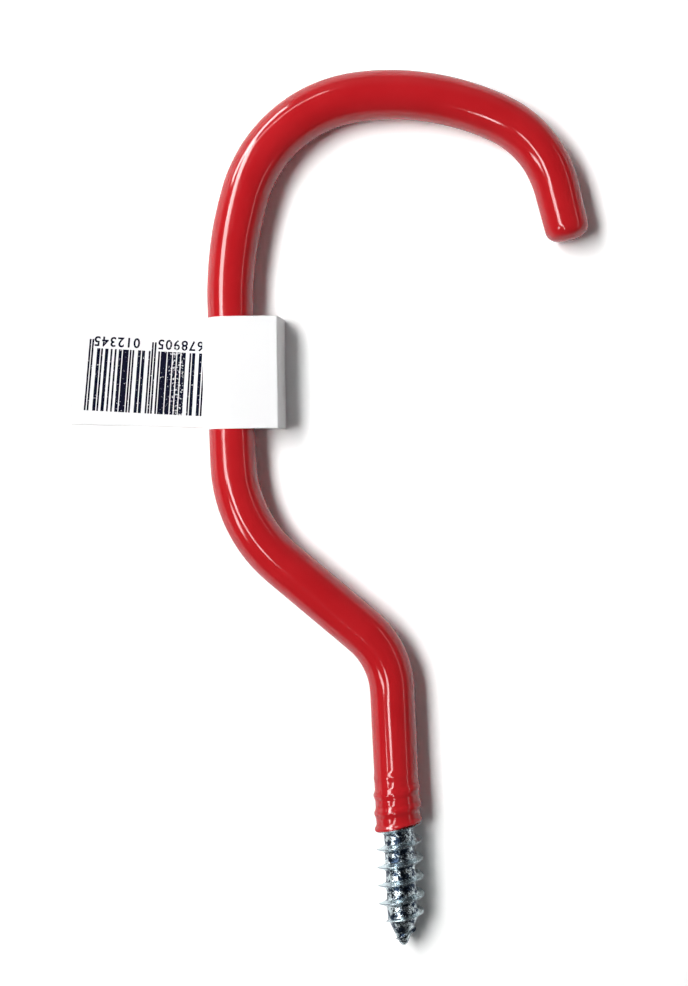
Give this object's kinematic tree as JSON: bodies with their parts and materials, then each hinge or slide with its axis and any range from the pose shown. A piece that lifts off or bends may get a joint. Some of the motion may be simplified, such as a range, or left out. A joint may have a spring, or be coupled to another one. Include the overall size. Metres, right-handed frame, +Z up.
{
  "type": "wall hook",
  "caption": "Screw-in utility hook: a cranked steel rod bent into a wide open crook, dipped in vinyl, with a coarse wood-screw end and a folded paper tag.",
  "frame": {"origin": "on the screw's axis, where the bare thread leaves the coat, which is where the hook meets the timber", "axes": "-Y along the screw towards its tip; all the bends lie in XY, and the crook's mouth opens towards +X and -Y; +Z up, normal to the bends. The hook lies flat on a level surface about 4.8 mm below the origin."},
  "size_m": [0.1058, 0.1745, 0.0096],
  "materials": {
    "vinyl": "gloss",
    "zinc_plated_steel": "polished",
    "label_paper": "satin"
  },
  "bodies": {
    "root": {"vinyl_coat": "vinyl", "steel_hook": "zinc_plated_steel", "paper_label": "label_paper"}
  },
  "joints": []
}
